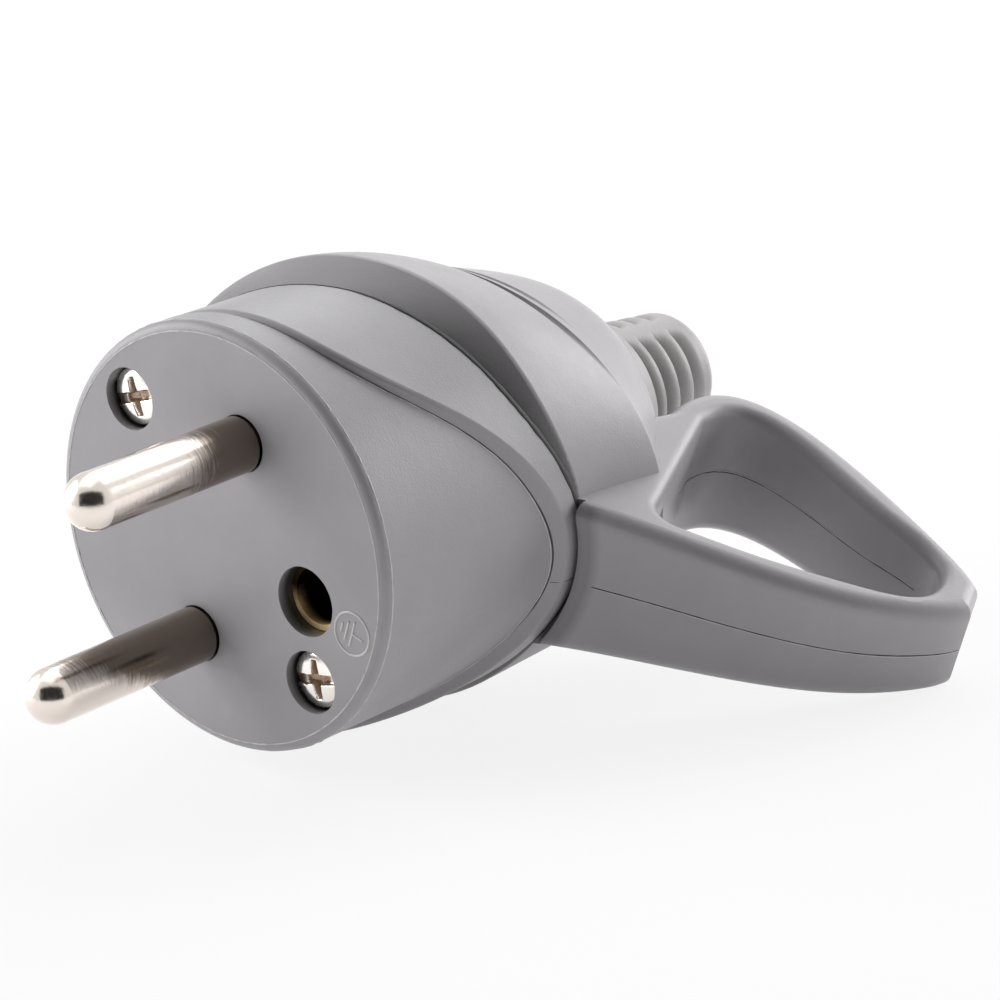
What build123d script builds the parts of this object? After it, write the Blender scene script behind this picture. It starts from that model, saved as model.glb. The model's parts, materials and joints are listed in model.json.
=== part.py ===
"""Two-pin mains plug with an earth socket and a pull ring, in the attitude in which it lies on a table.

The plug is built upright in its own axes: the front face is at y = 0, the pins point along -Y, the cord
leaves along +Y, the pull ring stands out along +X and the pins stand at z = +9.5 and z = -9.5.
At the end every piece is rolled about Y until the collar and the tip of the ring lie on one level.
Millimetres throughout.
"""
from build123d import *
from math import asin, atan2, cos, degrees, hypot, pi, radians, sin, sqrt, tan
import os

# pins, 4.8 mm pattern
PIN_SPACING = 19.0
PIN_D = 4.8
PIN_LENGTH = 19.0
PIN_NECK_D = 4.4                   # inside the front block
PIN_SHOULDER = 0.3                 # the full diameter ends this far ahead of the face
PIN_MOUTH = 0.8                    # depth of the wider mouth of the pin's hole
PIN_BLOCK = (6.8, 7.0, 6.2)        # x, y and z sizes of the terminal end
PIN_BLOCK_Y = 4.5                  # depth of its front end behind the face

# earth socket, for a 4.8 mm earth pin
EARTH_X = 10.0
EARTH_BORE_D = 4.9
EARTH_WALL = 0.5
EARTH_LIP_DEPTH = 1.6              # the sleeve's mouth lies this far behind the face
EARTH_DEPTH = 15.4                 # length of the sleeve
EARTH_BLOCK = (7.4, 4.0, 6.2)
EARTH_SCREW_X = 1.4

# assembly screws, M3
SCREW_ANGLE = 28.0                 # degrees from the mid plane
SCREW_INSET = 2.25                 # from the spigot's side to the screw's axis
SCREW_HEAD_D = 4.9
SCREW_HEAD_H = 1.6
SCREW_SINK = 0.9                   # depth of the head's top below the face
SCREW_D = 2.9
SCREW_LENGTH = 17.0
SCREW_HOLE_D = 3.3
WELL_D = 5.4
INSERT_D = 4.0                     # threaded insert in the shell's boss
INSERT_L = 6.0
RECESS_W = 0.75                    # slot and cross recess
RECESS_DEPTH = 0.9
CROSS_LENGTH = 3.0
HEAD_EDGE_R = 0.35
SCREW_TURN = {"a": 70, "b": 10}

# terminal screws and clamp plates
TERMINAL_SCREW_D = 3.0
TERMINAL_HEAD_D = 5.6
TERMINAL_HEAD_H = 1.8
TERMINAL_SCREW_LENGTH = 5.0
TERMINAL_TURN = 35
EARTH_TURN = 20
PLATE_SIZE = 6.2
PLATE_T = 0.8

# front block and middle housing
BODY_R = 18.45
FACE_EDGE_R = 0.8
FACE_T = 2.0
SPIGOT_INSET = 2.15                # from the front block's side to the spigot's side
SPIGOT_END = 13.0
FLARE_START = 17.5                 # the skirt flares from here towards the ring
FLARE_END = 24.5
FLARE_RISE = 1.45
HOUSING_DRAFT = 3.0                # degrees, flush with the front block's side on the far side from the ring
LIP_RISE = 0.55                    # the housing's lip above the front block's side, midway round
LIP_SHIFT = 0.8                    # towards the ring, where the lip stands higher
LIP_DRAFT = 1.0
LIP_EDGE_R = 0.5

# borders on the body: bends of the parting lines, seen from above
SPLIT_BEND = (7.6, 2.6)            # front block to middle housing
SPLIT_SLOPES = (0.0, 1.55)
SPLIT_SOFTNESS = 4.6
FOOT_BEND = (14.5, 18.0)           # middle housing to rear shell, the foot of the collar
FOOT_SLOPES = (0.27, 1.05)
FOOT_SOFTNESS = 3.0
CREST_BEND = (14.0, 19.4)          # crest of the collar
CREST_SLOPES = (0.17, 0.65)
CREST_SOFTNESS = 5.0
BORDER_LEAN = 4.0                  # degrees that the borders and the collar lean about the plug's axis

# rear shell
COLLAR_RISE = 1.45                 # above the front block's side
CREST_R = 0.9
WALL_LEAST = 1.0                   # least height of the wall that climbs to the crest
WALL_OVERRUN = 0.7                 # share of its height that this wall is drawn longer at each end
COLLAR_SECTIONS = (                # y, half width in x and z less the collar's radius, x of centre, tilt
    (9.0, 0.3, 0.3, 0.0, 13.5),
    (20.0, 0.0, 0.0, 0.0, 13.5),
    (27.4, 0.6, -2.5, 0.5, 16.7),
)
TAIL_SECTIONS = (                  # from the crease behind the collar to the boot, in the same way
    (27.4, 0.6, -2.5, 0.5, 16.7),
    (33.0, -3.5, -4.5, 0.9, 12.0),
    (38.0, -6.3, -6.5, 1.0, 6.0),
    (42.9, -11.0, -11.0, 1.5, 0.0),
)
CAVITY_CIRCLES = (                 # y, radius less the spigot's radius, x of centre
    (19.0, 0.2, 0.0),
    (30.0, -3.3, 0.7),
    (40.4, -8.1, 1.3),
)
GRIP_GROOVES = (                   # sections that the grooves follow, and the radius of each groove
    ((27.4, 1.55, -2.2, 1.15, 16.7), 0.9),
    ((29.8, 0.0, -2.95, 1.33, 14.8), 0.7),
)
LINING_T = 1.0                     # bosses and bed reach this far into the shell's wall
BOSS_R = 3.4
BOSS_END = 23.0

# pull ring, outline in the x-y plane
RING_OUTLINE = (                   # one smooth curve, from the front of the root round the tip to the back
    (16.7, 19.7),
    (30.6, 29.4),
    (42.8, 41.7),
    (44.1, 46.4),
    (34.5, 51.2),
    (12.2, 48.5),
    (12.2, 41.7),
)
RING_HIDDEN = ((11.0, 33.0), (11.0, 25.0))
RING_WALL = 2.95
OPENING_SPAN = (0.11, 0.985)       # stretch of the outline that the opening follows
RING_HALF_H = (7.0, 4.8)           # half height at RING_TAPER_AT
RING_TAPER_AT = (30.0, 54.0)       # distances from the plug's axis origin, along the taper
RING_TAPER_TURN = 27.0             # degrees from +X towards +Y in which the ring gets lower
RING_OVERRUN = (30.0, 6.0)         # how far the taper goes on, into the shell and past the tip
RING_EDGE_R = 1.4
OPENING_CORNER_R = 2.0
OPENING_EDGE_R = 1.1

# cord clamp
CLAMP_Y = 30.5
CLAMP_LENGTH = 5.0
CLAMP_X = 0.7
CLAMP_BED_DIP = -1.6               # height of the axis of the hollow in the bed
CLAMP_HALF_W = 8.4
CLAMP_SCREW_INSET = 2.3            # from the saddle's end to the screw's axis
CLAMP_GAP = (-4.0, 2.6)            # z of the bed's top and of the saddle's underside
SADDLE_T = 3.2
CLAMP_SCREW_D = 2.9
CLAMP_HEAD_D = 4.8
CLAMP_HEAD_H = 1.6
CLAMP_SCREW_LENGTH = 14.0
CORD_R = 3.6

# cable boot
BOOT_X = 1.5
BOOT_COLLAR = (8.6, 7.3)           # radius at the shell and at its rear edge
BOOT_COLLAR_L = 3.3
BOOT_R = (6.6, 5.6)                # first and last rib
BOOT_END = 57.0
BOOT_NECK_R = 5.8
BOOT_FLANGE_R = 7.2
BOOT_FLANGE_T = 1.4
BOOT_EDGE_R = 1.0
GROOVE_COUNT = 4
GROOVE_PITCH = 2.0
GROOVE_W = 0.95
GROOVE_DEPTH = 0.75
SPINE_HALF_W = 1.7

# wire barrier
BARRIER_Z = 4.4
BARRIER_T = 1.2
BARRIER_GAP = 0.9                  # to the earth terminal's block
BARRIER_END = 24.0

# clearances
FIT = 0.05                         # pieces that lie together
SLIDE = 0.15                       # pieces that slide together
JOINT = 0.12                       # visible joints between the mouldings

pin_r = PIN_D / 2
pin_neck_r = PIN_NECK_D / 2
spigot_r = BODY_R - SPIGOT_INSET
collar_r = BODY_R + COLLAR_RISE
screw_x = (spigot_r - SCREW_INSET) * cos(radians(SCREW_ANGLE))
screw_z = (spigot_r - SCREW_INSET) * sin(radians(SCREW_ANGLE))
clamp_screw_x = CLAMP_HALF_W - CLAMP_SCREW_INSET
earth_r = EARTH_BORE_D / 2
sleeve_r = earth_r + EARTH_WALL
seat_y = SCREW_SINK + SCREW_HEAD_H
flare_r = ((FLARE_END - FLARE_START) ** 2 + FLARE_RISE ** 2) / (2 * FLARE_RISE)
clamp_seat = CLAMP_GAP[1] + SADDLE_T
shell_end = TAIL_SECTIONS[-1][0]
cavity_end = CAVITY_CIRCLES[-1][0]
housing_bore_r = spigot_r + SLIDE
FAR = 60.0
AXIAL = Plane(origin=(0, 0, 0), x_dir=(1, 0, 0), z_dir=(0, 1, 0))   # its local z runs along +Y
screw_sites = {"a": (-screw_x, screw_z), "b": (screw_x, -screw_z)}
pin_sites = {"line": PIN_SPACING / 2, "neutral": -PIN_SPACING / 2}


def rod(radius, y0, y1, x=0.0, z=0.0):
    """Cylinder along Y from y0 to y1."""
    return Pos(x, (y0 + y1) / 2, z) * Rot(90, 0, 0) * Cylinder(radius, abs(y1 - y0))


def block(x0, x1, y0, y1, z0, z1):
    """Box between six levels."""
    return Pos((x0 + x1) / 2, (y0 + y1) / 2, (z0 + z1) / 2) * Box(x1 - x0, y1 - y0, z1 - z0)


def bend(x, at, slopes, softness):
    """Height at x of a line whose slope turns softly from slopes[0] to slopes[1]."""
    dx = x - at[0]
    return at[1] + slopes[0] * dx + (slopes[1] - slopes[0]) * (dx + sqrt(dx * dx + softness ** 2)) / 2


def split_y(x):
    return bend(x, SPLIT_BEND, SPLIT_SLOPES, SPLIT_SOFTNESS)


def foot_y(x):
    return bend(x, FOOT_BEND, FOOT_SLOPES, FOOT_SOFTNESS)


def crest_y(x):
    return bend(x, CREST_BEND, CREST_SLOPES, CREST_SOFTNESS)


def ahead_of(border, shift=0.0):
    """Everything in front of a border that runs across the body."""
    half = 26.0
    steps = 12
    xs = [-half + 2 * half * i / steps for i in range(steps + 1)]
    edge = Spline(*[(x, border(x) + shift) for x in xs])
    first, last = (xs[0], border(xs[0]) + shift), (xs[-1], border(xs[-1]) + shift)
    rest = Polyline(last, (half, -FAR), (-half, -FAR), first)
    prism = extrude(make_face(edge + rest), FAR / 2, both=True)
    return Rot(0, -BORDER_LEAN, 0) * prism


def skirt_radius(y):
    """Radius of the front block's side."""
    if y <= FLARE_START:
        return BODY_R
    return BODY_R + flare_r - sqrt(flare_r ** 2 - (y - FLARE_START) ** 2)


def lip_radius(y):
    """Radius of the lip around its own, shifted axis."""
    return BODY_R + LIP_RISE - y * tan(radians(LIP_DRAFT))


def housing_radius(angle, y):
    """Distance from the plug's axis to the middle housing's outside."""
    across = LIP_SHIFT * sin(angle)
    lip = LIP_SHIFT * cos(angle) + sqrt(lip_radius(y) ** 2 - across ** 2)
    return max(lip, skirt_radius(y) - y * tan(radians(HOUSING_DRAFT)) * (y <= FLARE_START))


def skirt():
    """Solid of revolution with the front block's outline, from the face to the end of the flare."""
    mid = (FLARE_START + FLARE_END) / 2
    outline = Polyline((0, FLARE_END), (0, 0), (BODY_R - FACE_EDGE_R, 0))
    outline += RadiusArc((BODY_R - FACE_EDGE_R, 0), (BODY_R, FACE_EDGE_R), -FACE_EDGE_R)
    outline += Line((BODY_R, FACE_EDGE_R), (BODY_R, FLARE_START))
    outline += ThreePointArc((BODY_R, FLARE_START), (skirt_radius(mid), mid), (skirt_radius(FLARE_END), FLARE_END))
    outline += Line((skirt_radius(FLARE_END), FLARE_END), (0, FLARE_END))
    return revolve(make_face(outline), Axis.Y)


def frustum(r0, r1, y0, y1, x=0.0):
    """Cone along Y from radius r0 at y0 to radius r1 at y1."""
    outline = Polyline((0, y0), (r0, y0), (r1, y1), (0, y1), close=True)
    return Pos(x, 0, 0) * revolve(make_face(outline), Axis.Y)


def recess(y, slot_length, turn, x, z):
    """Slot and cross recess in a head whose top lies at y, seen from -Y."""
    depth = block(-slot_length / 2, slot_length / 2, y - 1, y + RECESS_DEPTH, -RECESS_W / 2, RECESS_W / 2)
    half = CROSS_LENGTH / 2
    cross = Rot(0, 90, 0) * block(-half, half, y - 1, y + RECESS_DEPTH, -RECESS_W / 2, RECESS_W / 2)
    return Pos(x, 0, z) * Rot(0, turn, 0) * (depth + cross)


def front_block():
    body = (skirt() & ahead_of(split_y, -JOINT / 2)) - rod(spigot_r, SPIGOT_END, FAR)
    body += rod(spigot_r, FACE_T, SPIGOT_END)
    for z in pin_sites.values():
        x_half, z_half = PIN_BLOCK[0] / 2 + FIT, PIN_BLOCK[2] / 2 + FIT
        body -= rod(pin_neck_r + FIT, -1, SPIGOT_END, 0, z)
        body -= rod(pin_r + FIT, -1, PIN_MOUTH, 0, z)
        body -= block(-x_half, x_half, PIN_BLOCK_Y - FIT, FAR, z - z_half, z + z_half)
    body -= rod(sleeve_r + FIT, -1, SPIGOT_END + 1, EARTH_X)
    body -= rod(TERMINAL_SCREW_D / 2 + SLIDE, SPIGOT_END - TERMINAL_SCREW_LENGTH, FAR, EARTH_SCREW_X)
    for x, z in screw_sites.values():
        body -= rod(WELL_D / 2, -1, seat_y, x, z)
        body -= rod(SCREW_HOLE_D / 2, 0, FAR, x, z)
    return body


def is_lip(edge):
    """True for the outer edges along the middle housing's front border."""
    lean = radians(BORDER_LEAN)
    for share in (0.1, 0.5, 0.9):
        place = edge.position_at(share)
        border = split_y(place.X * cos(lean) + place.Z * sin(lean)) + JOINT / 2
        if abs(place.Y - border) > JOINT / 2 or hypot(place.X, place.Z) < housing_bore_r + LIP_EDGE_R:
            return False
    return True


def middle_housing():
    drop = FLARE_START * tan(radians(HOUSING_DRAFT))
    outside = frustum(BODY_R, BODY_R - drop, 0, FLARE_START)
    outside += frustum(lip_radius(0), lip_radius(FLARE_END), 0, FLARE_END, LIP_SHIFT)
    outside += skirt() & ahead_of(foot_y) & block(0, FAR, FLARE_START, FLARE_END, -FAR, FAR)
    ring = outside - rod(housing_bore_r, -1, FAR)
    ring -= ahead_of(split_y, JOINT / 2)
    ring &= ahead_of(foot_y, -JOINT / 2)
    return fillet([e for e in ring.edges() if is_lip(e)], LIP_EDGE_R)


def tilted_plane(y, x, tilt):
    """Plane across the plug's axis, turned about Z by the tilt."""
    turn = radians(tilt)
    return Plane(origin=(x, y, 0), x_dir=(cos(turn), sin(turn), 0), z_dir=(-sin(turn), cos(turn), 0))


def section(y, more_x, more_z, x, tilt):
    """Oval section of the shell, given by what it measures more than the collar's radius."""
    return tilted_plane(y, x, tilt) * Ellipse(collar_r + more_x, collar_r + more_z)


def cavity_circle(y, more, x, wall=0.0):
    return tilted_plane(y, x, 0) * Circle(spigot_r + more + wall)


def collar_wall():
    """Everything in front of the wall that climbs from the collar's foot to its crest."""
    steps = 48
    low, high = [], []
    for i in range(steps):
        angle = 2 * pi * i / steps
        foot_r = BODY_R
        for _ in range(4):
            foot = foot_y(foot_r * cos(angle))
            foot_r = min(housing_radius(angle, foot), collar_r - WALL_LEAST)
        crest = crest_y(collar_r * cos(angle))
        for side, share in ((low, -WALL_OVERRUN), (high, 1 + WALL_OVERRUN)):
            radius = foot_r + share * (collar_r - foot_r)
            side.append((radius * cos(angle), foot + share * (crest - foot), radius * sin(angle)))
    edges = [Spline(*side, periodic=True).edge() for side in (low, high)]
    front = Solid.extrude(Face.make_surface_from_curves(*edges), Vector(0, -FAR, 0))
    return Rot(0, -BORDER_LEAN, 0) * front


def is_crest(edge):
    """True for the edges along the collar's crest."""
    box = edge.bounding_box()
    return edge.length > collar_r and max(box.max.Z, -box.min.Z) > collar_r - CREST_R


def ring_opening(outer):
    """Opening that keeps one wall to the outer curve and is closed by a straight side towards the body."""
    steps = 8
    start, end = OPENING_SPAN
    points = []
    for i in range(steps + 1):
        t = start + (end - start) * i / steps
        along = outer.tangent_at(t)
        points.append(outer.position_at(t) + RING_WALL * Vector(-along.Y, along.X))
    face = make_face(Spline(*points) + Line(points[-1], points[0]))
    return fillet(face.vertices(), OPENING_CORNER_R)


def lies_over(edge, face):
    """True if an edge, seen from above, lies within the box of a flat face."""
    small, large = edge.bounding_box(), face.bounding_box()
    return (small.min.X > large.min.X - FIT and small.max.X < large.max.X + FIT
            and small.min.Y > large.min.Y - FIT and small.max.Y < large.max.Y + FIT)


def ring_half_height(x, y):
    """Half height of the ring's taper at a place in its outline."""
    (u0, u1), (h0, h1) = RING_TAPER_AT, RING_HALF_H
    turn = radians(RING_TAPER_TURN)
    return h0 + (h1 - h0) * (x * cos(turn) + y * sin(turn) - u0) / (u1 - u0)


def ring_wedge():
    """Wedge between the ring's upper and lower side."""
    (u0, u1), (h0, h1) = RING_TAPER_AT, RING_HALF_H
    near, far = u0 - RING_OVERRUN[0], u1 + RING_OVERRUN[1]
    slope = (h1 - h0) / (u1 - u0)
    h_near, h_far = h0 + slope * (near - u0), h0 + slope * (far - u0)
    side = make_face(Polyline((near, -h_near), (far, -h_far), (far, h_far), (near, h_near), close=True))
    return Rot(0, 0, RING_TAPER_TURN) * extrude(Plane.XZ * side, FAR, both=True)


def pull_ring():
    """Ring on the +X side, thinner towards its tip, with a rounded opening."""
    least_h = RING_HALF_H[1] / 2
    outer = Spline(*RING_OUTLINE)
    outline = make_face(outer + Polyline(RING_OUTLINE[-1], *RING_HIDDEN, RING_OUTLINE[0]))
    ring = extrude(outline, FAR / 2, both=True) & ring_wedge()
    ring = fillet([e for e in ring.edges() if abs(e.center().Z) > least_h], RING_EDGE_R)
    opening = ring_opening(outer)
    ring -= extrude(opening, FAR / 2, both=True)
    rim = [e for e in ring.edges() if abs(e.center().Z) > least_h and lies_over(e, opening)]
    return fillet(rim, OPENING_EDGE_R)


def rear_shell():
    shell = loft([section(*sizes) for sizes in COLLAR_SECTIONS]) - collar_wall()
    shell = fillet([e for e in shell.edges() if is_crest(e)], CREST_R)
    shell += loft([section(*sizes) for sizes in TAIL_SECTIONS])
    for sizes, radius in GRIP_GROOVES:
        path = section(*sizes).edge()
        shell -= sweep(Plane(path @ 0, z_dir=path % 0) * Circle(radius), path)
    shell += pull_ring()
    first_y, more, _ = CAVITY_CIRCLES[0]
    cavity = rod(spigot_r + more, -1, first_y) + loft([cavity_circle(*circle) for circle in CAVITY_CIRCLES])
    shell -= cavity
    shell -= rod(BOOT_NECK_R + FIT, cavity_end - 1, FAR, BOOT_X)
    lining = loft([cavity_circle(*circle, wall=LINING_T) for circle in CAVITY_CIRCLES])
    inside = rod(spigot_r, SPIGOT_END, first_y) + lining
    for x, z in screw_sites.values():
        boss = rod(BOSS_R, SPIGOT_END + FIT, BOSS_END, x, z) & inside
        shell += boss
        shell -= rod(SCREW_HOLE_D / 2, 0, seat_y + SCREW_LENGTH + 1, x, z)
        shell -= rod(INSERT_D / 2 + FIT, 0, SPIGOT_END + FIT + INSERT_L + FIT, x, z)
    half_l = CLAMP_LENGTH / 2 + 0.5
    bed = block(-CLAMP_HALF_W, CLAMP_HALF_W, CLAMP_Y - half_l, CLAMP_Y + half_l, -FAR, CLAMP_GAP[0])
    bed -= rod(CORD_R, 0, FAR, CLAMP_X, CLAMP_BED_DIP)
    shell += bed & inside
    for x in (-clamp_screw_x, clamp_screw_x):
        shell -= clamp_rod(CLAMP_SCREW_D / 2 + FIT, clamp_seat - CLAMP_SCREW_LENGTH - 0.5, clamp_seat, x)
    housing_room = (ahead_of(foot_y, JOINT / 2) & rod(collar_r, -1, FAR)) - rod(spigot_r, -2, FAR)
    return shell - housing_room


def clamp_rod(radius, z0, z1, x):
    """Cylinder along Z at one of the clamp's screws."""
    return Pos(CLAMP_X + x, CLAMP_Y, (z0 + z1) / 2) * Cylinder(radius, z1 - z0)


def cable_boot():
    """Ribbed boot: a flange inside the shell, a collar outside it and ribs that shrink towards its end."""
    collar_y = shell_end + JOINT
    ribs_y = collar_y + BOOT_COLLAR_L
    outline = Polyline((0, cavity_end - BOOT_FLANGE_T), (BOOT_FLANGE_R, cavity_end - BOOT_FLANGE_T),
                       (BOOT_FLANGE_R, cavity_end - FIT), (BOOT_NECK_R, cavity_end - FIT), (BOOT_NECK_R, collar_y),
                       (BOOT_COLLAR[0], collar_y), (BOOT_COLLAR[1], ribs_y), (BOOT_R[0], ribs_y),
                       (BOOT_R[1], BOOT_END), (0, BOOT_END), close=True)
    boot = revolve(make_face(outline), Axis.Y)
    tail_edge = boot.edges().filter_by(GeomType.CIRCLE).sort_by(Axis.Y)[-1]
    boot = fillet(tail_edge, BOOT_EDGE_R)
    slope = (BOOT_R[1] - BOOT_R[0]) / (BOOT_END - ribs_y)
    keep = block(-SPINE_HALF_W, SPINE_HALF_W, ribs_y, BOOT_END, -FAR, FAR)
    for i in range(GROOVE_COUNT):
        y = ribs_y + GROOVE_W / 2 + 0.3 + i * GROOVE_PITCH
        radius = BOOT_R[0] + slope * (y - ribs_y)
        groove = rod(radius + 2, y - GROOVE_W / 2, y + GROOVE_W / 2) - rod(radius - GROOVE_DEPTH, 0, FAR)
        boot -= groove - keep
    boot -= rod(CORD_R, 0, FAR)
    return Pos(BOOT_X, 0, 0) * boot


def mains_pin(z):
    """Round pin with a domed tip and a square terminal end."""
    x_size, y_size, z_size = PIN_BLOCK
    end_y = PIN_BLOCK_Y + y_size
    tip_y = -PIN_LENGTH + pin_r
    pin = rod(pin_r, tip_y, -PIN_SHOULDER, 0, z) + Pos(0, tip_y, z) * Sphere(pin_r)
    pin += rod(pin_neck_r, -PIN_SHOULDER, PIN_BLOCK_Y, 0, z)
    pin += block(-x_size / 2, x_size / 2, PIN_BLOCK_Y, end_y, z - z_size / 2, z + z_size / 2)
    pin -= rod(TERMINAL_SCREW_D / 2 + FIT, end_y - TERMINAL_SCREW_LENGTH, end_y + 1, 0, z)
    return pin


def terminal_screw(x, y, z, turn):
    """Cheese-head screw from the rear, its clamp plate's rear face at y."""
    screw = rod(TERMINAL_SCREW_D / 2, y - PLATE_T - FIT - TERMINAL_SCREW_LENGTH + 0.6, y + FIT + 0.1, x, z)
    head = rod(TERMINAL_HEAD_D / 2, y + FIT, y + FIT + TERMINAL_HEAD_H, x, z)
    top = y + FIT + TERMINAL_HEAD_H
    slot = block(-TERMINAL_HEAD_D, TERMINAL_HEAD_D, top - RECESS_DEPTH, top + 1, -RECESS_W / 2, RECESS_W / 2)
    return screw + head - Pos(x, 0, z) * Rot(0, turn, 0) * slot


def clamp_plate(x, y, z):
    """Square plate under a terminal screw, its rear face at y."""
    half = PLATE_SIZE / 2
    plate = block(x - half, x + half, y - PLATE_T, y, z - half, z + half)
    return plate - rod(TERMINAL_SCREW_D / 2 + FIT, y - 2, y + 1, x, z)


def earth_sleeve():
    end = EARTH_LIP_DEPTH + EARTH_DEPTH
    return rod(sleeve_r, EARTH_LIP_DEPTH, end, EARTH_X) - rod(earth_r, EARTH_LIP_DEPTH - 1, end + 1, EARTH_X)


def earth_terminal():
    """Block pressed on the sleeve's rear end, with a tab for the earth screw."""
    x_size, y_size, z_size = EARTH_BLOCK
    y0 = SPIGOT_END + FIT
    y1 = y0 + y_size
    half = PLATE_SIZE / 2
    body = block(EARTH_X - x_size / 2, EARTH_X + x_size / 2, y0, y1, -z_size / 2, z_size / 2)
    body += block(EARTH_SCREW_X - half, EARTH_X, (y0 + y1) / 2, y1, -half, half)
    body -= rod(sleeve_r + FIT, 0, FAR, EARTH_X)
    body -= rod(TERMINAL_SCREW_D / 2 + FIT, 0, FAR, EARTH_SCREW_X)
    return body


def assembly_screw(x, z, turn):
    """Screw with a combination recess, through the front block into the shell's threaded insert."""
    head = rod(SCREW_HEAD_D / 2, SCREW_SINK, seat_y - FIT, x, z)
    rim = head.edges().filter_by(GeomType.CIRCLE).sort_by(Axis.Y)[0]
    head = fillet(rim, HEAD_EDGE_R)
    screw = head + rod(SCREW_D / 2, seat_y - 0.5, seat_y + SCREW_LENGTH, x, z)
    return screw - recess(SCREW_SINK, SCREW_HEAD_D, turn, x, z)


def threaded_insert(x, z):
    y = SPIGOT_END + 2 * FIT
    insert = rod(INSERT_D / 2, y, y + INSERT_L, x, z)
    return insert - rod(SCREW_D / 2 + FIT, 0, FAR, x, z)


def wire_barrier():
    """Two fins that keep the mains wires apart from the earth wire, joined by a web."""
    x0, x1, y0 = BOSS_R - screw_x, EARTH_X - EARTH_BLOCK[0] / 2 - BARRIER_GAP, SPIGOT_END + FIT
    outer, inner = BARRIER_Z + BARRIER_T / 2, BARRIER_Z - BARRIER_T / 2
    solid = block(x0, x1, y0, BARRIER_END, -outer, outer)
    return solid - block(x0 + BARRIER_T, x1 + 1, y0 - 1, BARRIER_END + 1, -inner, inner)


def clamp_saddle():
    bottom = CLAMP_GAP[1]
    half_l = CLAMP_LENGTH / 2
    saddle = block(-CLAMP_HALF_W, CLAMP_HALF_W, CLAMP_Y - half_l, CLAMP_Y + half_l, bottom, bottom + SADDLE_T)
    saddle = Pos(CLAMP_X, 0, 0) * fillet(saddle.edges().filter_by(Axis.Z), 1.5)
    saddle -= rod(CORD_R, 0, FAR, CLAMP_X, bottom - CORD_R + 1.2)
    for x in (-clamp_screw_x, clamp_screw_x):
        saddle -= clamp_rod(CLAMP_SCREW_D / 2 + SLIDE, bottom - 1, bottom + SADDLE_T + 1, x)
    return saddle


def clamp_screw(x):
    top = clamp_seat + FIT + CLAMP_HEAD_H
    screw = clamp_rod(CLAMP_HEAD_D / 2, clamp_seat + FIT, top, x)
    screw += clamp_rod(CLAMP_SCREW_D / 2, clamp_seat - CLAMP_SCREW_LENGTH, clamp_seat + 1, x)
    slot = Pos(CLAMP_X + x, CLAMP_Y, top) * Rot(0, 0, 25) * Box(2 * CLAMP_HEAD_D, RECESS_W, 2 * RECESS_DEPTH)
    return screw - slot


def rest_roll():
    """Degrees that bring the collar and the tip of the ring to one level."""
    tip_x, tip_y = max(RING_OUTLINE)
    reach = tip_x - RING_EDGE_R
    drop = ring_half_height(tip_x, tip_y) - RING_EDGE_R
    return degrees(asin((collar_r - RING_EDGE_R) / hypot(reach, drop)) - atan2(drop, reach))


def pieces():
    plate_y = PIN_BLOCK_Y + PIN_BLOCK[1] + FIT + PLATE_T
    earth_plate_y = SPIGOT_END + FIT + EARTH_BLOCK[1] + FIT + PLATE_T
    made = {
        "front_block": front_block(),
        "middle_housing": middle_housing(),
        "rear_shell": rear_shell(),
        "cable_boot": cable_boot(),
        "earth_sleeve": earth_sleeve(),
        "earth_terminal": earth_terminal(),
        "earth_clamp_plate": clamp_plate(EARTH_SCREW_X, earth_plate_y, 0),
        "earth_terminal_screw": terminal_screw(EARTH_SCREW_X, earth_plate_y, 0, EARTH_TURN),
        "wire_barrier": wire_barrier(),
        "clamp_saddle": clamp_saddle(),
        "clamp_screw_a": clamp_screw(-clamp_screw_x),
        "clamp_screw_b": clamp_screw(clamp_screw_x),
    }
    for name, z in pin_sites.items():
        made[name + "_pin"] = mains_pin(z)
        made[name + "_clamp_plate"] = clamp_plate(0, plate_y, z)
        made[name + "_terminal_screw"] = terminal_screw(0, plate_y, z, TERMINAL_TURN)
    for name, (x, z) in screw_sites.items():
        made["assembly_screw_" + name] = assembly_screw(x, z, SCREW_TURN[name])
        made["threaded_insert_" + name] = threaded_insert(x, z)
    return made


if __name__ == "__main__":
    os.makedirs("parts", exist_ok=True)
    for node, solid in pieces().items():
        export_step(Rot(0, rest_roll(), 0) * solid, "parts/" + node + ".step")
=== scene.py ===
"""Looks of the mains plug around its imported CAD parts: materials, small surface pieces, light and camera.

The plug's own axes are those of the CAD source: the face at y = 0, the pins along -Y, the pull ring along +X.
The functions that make pieces take millimetres in these axes; placed() turns them into the frame, in metres.
The materials read places in the frame, in metres.
"""

import json
import math

import bmesh
import bpy
from mathutils import Euler, Matrix, Vector, noise
from mathutils.bvhtree import BVHTree


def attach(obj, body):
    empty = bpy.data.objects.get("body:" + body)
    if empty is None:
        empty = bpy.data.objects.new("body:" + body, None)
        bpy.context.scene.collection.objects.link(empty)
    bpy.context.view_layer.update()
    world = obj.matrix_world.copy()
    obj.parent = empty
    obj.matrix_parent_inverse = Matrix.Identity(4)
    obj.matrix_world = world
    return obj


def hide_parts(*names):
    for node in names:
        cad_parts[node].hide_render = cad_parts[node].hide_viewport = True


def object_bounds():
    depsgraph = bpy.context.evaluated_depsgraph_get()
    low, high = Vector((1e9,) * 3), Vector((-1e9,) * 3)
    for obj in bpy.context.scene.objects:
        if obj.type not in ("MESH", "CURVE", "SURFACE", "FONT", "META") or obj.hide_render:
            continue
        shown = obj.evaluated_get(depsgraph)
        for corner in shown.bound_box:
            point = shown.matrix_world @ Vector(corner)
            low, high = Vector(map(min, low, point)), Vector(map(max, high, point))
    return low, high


MM = 0.001
ROLL = 21.840                      # degrees about Y, from the plug's own axes to its attitude at rest
BODY_R = 18.45                     # radius of the front block
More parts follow.
